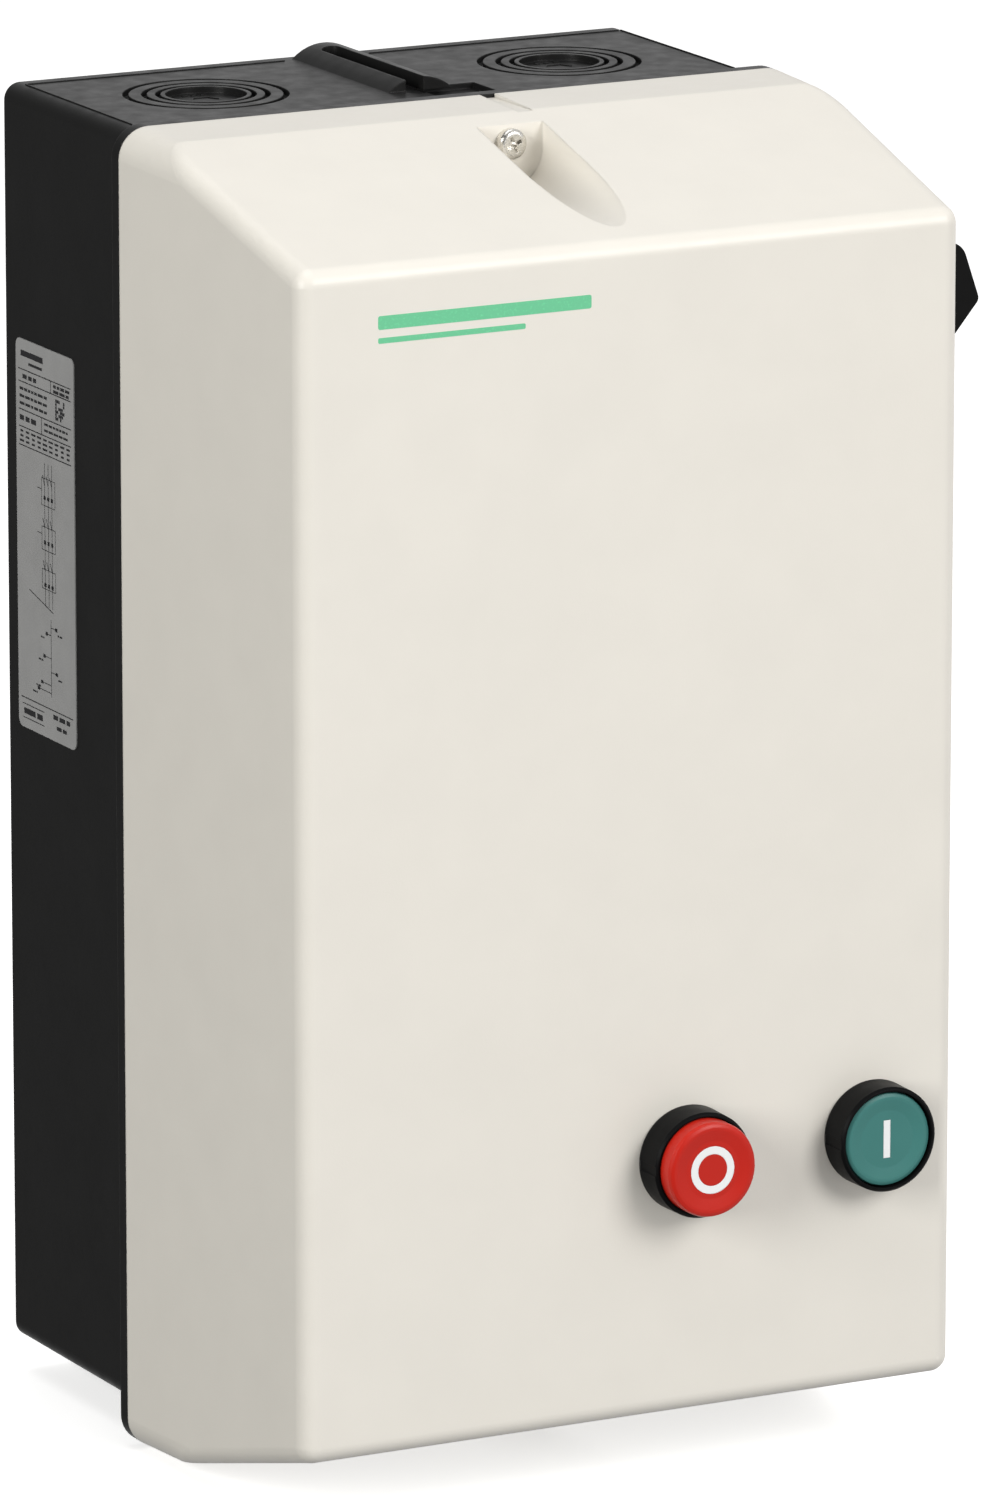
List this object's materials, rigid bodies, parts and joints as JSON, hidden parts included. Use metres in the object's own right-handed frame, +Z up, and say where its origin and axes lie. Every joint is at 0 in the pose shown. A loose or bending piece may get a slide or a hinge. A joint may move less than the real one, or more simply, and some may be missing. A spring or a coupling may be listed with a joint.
{
  "type": "enclosed motor protection breaker",
  "caption": "Wall-mounted enclosed motor starter: black back box, sloped off-white cover, rotary handle on the right wall, red stop and green start buttons.",
  "frame": {"origin": "centre of the four wall fixings, on the back face of the box", "axes": "+X right, +Y into the wall, +Z up; the front faces -Y"},
  "size_m": [0.2134, 0.1857, 0.3396],
  "materials": {
    "black_housing": "fine-textured moulded black plastic",
    "cover_white": "fine-textured off-white moulded plastic, satin",
    "button_black": "satin black moulded plastic",
    "handle_black": "satin black moulded plastic",
    "red_cap": "satin red moulded plastic",
    "green_cap": "satin blue-green moulded plastic",
    "symbol_white": "second-shot white moulding",
    "label_film": "matt grey printed film",
    "rubber": "moulded rubber",
    "device_plastic": "dark grey moulded plastic",
    "natural_plastic": "natural moulded plastic",
    "zinc_steel": "zinc-plated steel",
    "bright_steel": "stainless steel",
    "spring_steel": "drawn spring wire",
    "core_steel": "laminated steel",
    "brass": "machined brass",
    "copper": "bare copper",
    "wire_insulation": "black wire insulation"
  },
  "bodies": {
    "back_box": {"base_housing": "black_housing", "cover_gasket": "rubber", "cover_inserts": "brass", "rating_label": "label_film", "din_rail": "zinc_steel", "mounting_screws": "zinc_steel", "breaker_bracket": "zinc_steel", "breaker_rail": "zinc_steel", "breaker_rail_bolts": "zinc_steel", "earth_bar": "brass", "earth_bar_screws": "zinc_steel", "contactor_base": "device_plastic", "contactor_fixed_core": "core_steel", "contactor_bobbin": "natural_plastic", "contactor_winding": "copper", "contactor_fixed_contacts": "copper", "contactor_terminal_screws": "zinc_steel", "contactor_front": "device_plastic", "contactor_return_spring": "spring_steel", "breaker_body": "device_plastic", "breaker_front": "device_plastic", "breaker_fixed_contacts": "copper", "breaker_terminal_screws": "zinc_steel", "breaker_trip_coils": "copper", "breaker_trip_cores": "core_steel", "breaker_bimetals": "spring_steel", "link_wires": "wire_insulation"},
    "front_cover": {"cover": "cover_white", "cover_screws": "bright_steel", "stop_bezel": "button_black", "start_bezel": "button_black", "button_seals": "rubber", "button_collars": "button_black", "stop_spring": "spring_steel", "start_spring": "spring_steel", "stop_contact_block": "natural_plastic", "start_contact_block": "natural_plastic", "stop_fixed_contacts": "copper", "start_fixed_contacts": "copper", "button_terminal_screws": "zinc_steel", "handle_seal": "rubber", "handle_escutcheon": "handle_black", "handle_nut": "button_black"},
    "stop_button": {"stop_cap": "red_cap", "stop_symbol": "symbol_white", "stop_stem": "button_black", "stop_moving_contact": "copper"},
    "start_button": {"start_cap": "green_cap", "start_symbol": "symbol_white", "start_stem": "button_black", "start_moving_contact": "copper"},
    "rotary_handle": {"handle_grip": "handle_black", "handle_shaft": "zinc_steel"},
    "rotor": {"breaker_rotor": "handle_black"},
    "breaker_contacts": {"breaker_moving_contacts": "copper", "breaker_contact_bar": "natural_plastic"},
    "current_dial": {"breaker_dial": "natural_plastic"},
    "contactor_slider": {"contactor_armature": "core_steel", "contactor_carrier": "natural_plastic", "contactor_moving_contacts": "copper"}
  },
  "joints": [
    {"name": "cover_lift", "type": "slide", "parent": "back_box", "child": "front_cover", "axis": [0, -1, 0], "range_m": [0, 0.15]},
    {"name": "stop_press", "type": "slide", "parent": "front_cover", "child": "stop_button", "axis": [0, 1, 0], "range_m": [0, 0.0035], "stiffness_N_per_m": 600, "springref_m": -0.004, "deforming": ["stop_spring"]},
    {"name": "start_press", "type": "slide", "parent": "front_cover", "child": "start_button", "axis": [0, 1, 0], "range_m": [0, 0.0035], "stiffness_N_per_m": 600, "springref_m": -0.004, "deforming": ["start_spring"]},
    {"name": "handle_turn", "type": "hinge", "parent": "front_cover", "child": "rotary_handle", "pos_m": [0.1, -0.125, 0.1046], "axis": [-1, 0, 0], "range_deg": [0, 90]},
    {"name": "rotor_turn", "type": "hinge", "parent": "back_box", "child": "rotor", "pos_m": [0.075, -0.125, 0.1046], "axis": [-1, 0, 0], "range_deg": [0, 90]},
    {"name": "breaker_close", "type": "slide", "parent": "back_box", "child": "breaker_contacts", "axis": [-1, 0, 0], "range_m": [0, 0.004]},
    {"name": "dial_turn", "type": "hinge", "parent": "back_box", "child": "current_dial", "pos_m": [0.078, -0.125, 0.0902], "axis": [1, 0, 0], "range_deg": [-135, 135]},
    {"name": "contactor_pull", "type": "slide", "parent": "back_box", "child": "contactor_slider", "axis": [0, 1, 0], "range_m": [0, 0.005], "stiffness_N_per_m": 900, "springref_m": -0.004, "deforming": ["contactor_return_spring"]}
  ],
  "couplings": [
    {"joint": "rotor_turn", "follows": "handle_turn", "ratio": 1},
    {"joint": "breaker_close", "follows": "handle_turn", "m_per_rad": 0.0024}
  ]
}
